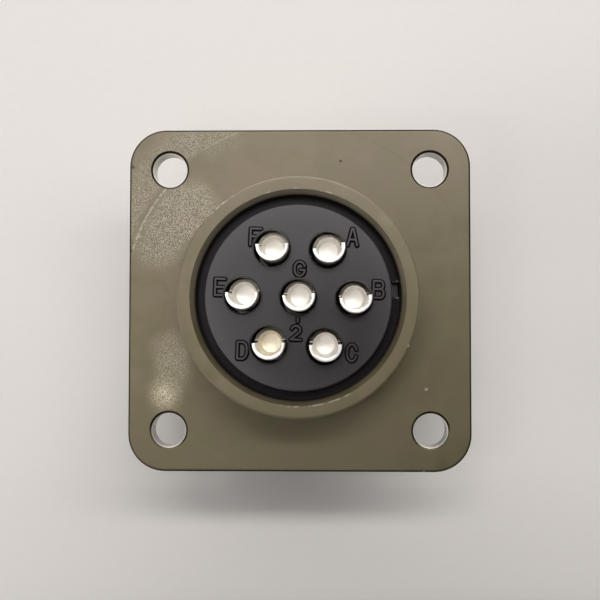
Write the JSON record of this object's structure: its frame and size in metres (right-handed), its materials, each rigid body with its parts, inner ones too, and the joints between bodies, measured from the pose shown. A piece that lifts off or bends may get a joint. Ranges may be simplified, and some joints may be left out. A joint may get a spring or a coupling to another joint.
{
  "type": "circular connector receptacle",
  "caption": "Square-flange box-mounting circular receptacle, standing on its threaded mating barrel with the solder cups up.",
  "frame": {"origin": "centre of the mating barrel's front end, which the part stands on", "axes": "+Z along the connector axis towards the solder cups; +Y towards the barrel's keyway, the top of the picture; +X to the right of the picture"},
  "size_m": [0.0322, 0.0322, 0.0248],
  "materials": {
    "shell_finish": "olive drab conversion finish over a die casting, satin, faint turning marks",
    "insert_plastic": "dark grey moulded thermoset, satin",
    "ring_black": "blackened spring steel",
    "contact_plating": "turned, bright tin-silver plating over brass",
    "hood_steel": "drawn stainless sleeve"
  },
  "bodies": {
    "root": {"shell": "shell_finish", "front_insert": "insert_plastic", "rear_insert": "insert_plastic", "retaining_ring": "ring_black", "contact_a": "contact_plating", "hood_a": "hood_steel", "contact_b": "contact_plating", "hood_b": "hood_steel", "contact_c": "contact_plating", "hood_c": "hood_steel", "contact_d": "contact_plating", "hood_d": "hood_steel", "contact_e": "contact_plating", "hood_e": "hood_steel", "contact_f": "contact_plating", "hood_f": "hood_steel", "contact_g": "contact_plating", "hood_g": "hood_steel"}
  },
  "joints": []
}
